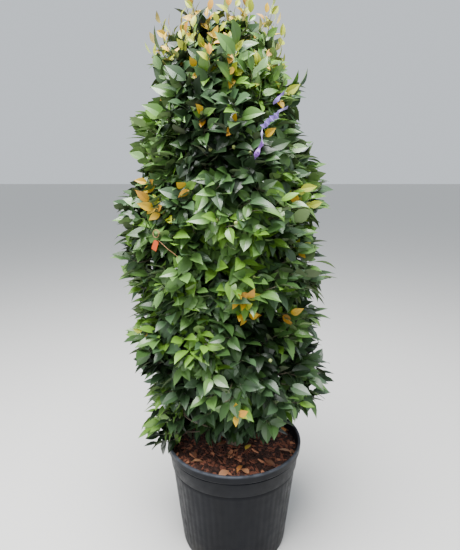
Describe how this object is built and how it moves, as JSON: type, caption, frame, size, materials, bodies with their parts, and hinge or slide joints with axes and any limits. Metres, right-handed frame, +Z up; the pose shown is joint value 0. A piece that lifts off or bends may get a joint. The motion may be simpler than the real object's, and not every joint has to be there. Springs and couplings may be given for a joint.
{
  "type": "potted camellia",
  "caption": "Camellia grown as a tall dense column of glossy leaves, standing in a round fluted nursery pot filled with bark-topped compost.",
  "frame": {"origin": "centre of the pot's flat underside", "axes": "+Z up along the plant, -Y towards the viewer of the picture, +X to that viewer's right"},
  "size_m": [0.9477, 0.8175, 2.307],
  "materials": {
    "pot": "satin black",
    "soil": "rough bark mulch",
    "bark": "smooth bark",
    "leaves": "glossy leaves"
  },
  "bodies": {
    "root": {"pot": "pot", "soil": "soil", "trunk": "bark", "bough_skirt_1": "bark", "bough_skirt_2": "bark", "bough_skirt_3": "bark", "bough_skirt_4": "bark", "bough_skirt_5": "bark", "bough_low_1": "bark", "bough_low_2": "bark", "bough_low_3": "bark", "bough_low_4": "bark", "bough_low_5": "bark", "bough_middle_1": "bark", "bough_middle_2": "bark", "bough_middle_3": "bark", "bough_middle_4": "bark", "bough_middle_5": "bark", "bough_upper_1": "bark", "bough_upper_2": "bark", "bough_upper_3": "bark", "bough_upper_4": "bark", "bough_upper_5": "bark", "bough_high_1": "bark", "bough_high_2": "bark", "bough_high_3": "bark", "bough_high_4": "bark", "bough_top_1": "bark", "bough_top_2": "bark", "bough_top_3": "bark", "foliage_skirt_1": "leaves", "foliage_skirt_2": "leaves", "foliage_skirt_3": "leaves", "foliage_skirt_4": "leaves", "foliage_skirt_5": "leaves", "foliage_low_1": "leaves", "foliage_low_2": "leaves", "foliage_low_3": "leaves", "foliage_low_4": "leaves", "foliage_low_5": "leaves", "foliage_middle_1": "leaves", "foliage_middle_2": "leaves", "foliage_middle_3": "leaves", "foliage_middle_4": "leaves", "foliage_middle_5": "leaves", "foliage_upper_1": "leaves", "foliage_upper_2": "leaves", "foliage_upper_3": "leaves", "foliage_upper_4": "leaves", "foliage_upper_5": "leaves", "foliage_high_1": "leaves", "foliage_high_2": "leaves", "foliage_high_3": "leaves", "foliage_high_4": "leaves", "foliage_top_1": "leaves", "foliage_top_2": "leaves", "foliage_top_3": "leaves", "foliage_crest": "leaves"}
  },
  "joints": []
}
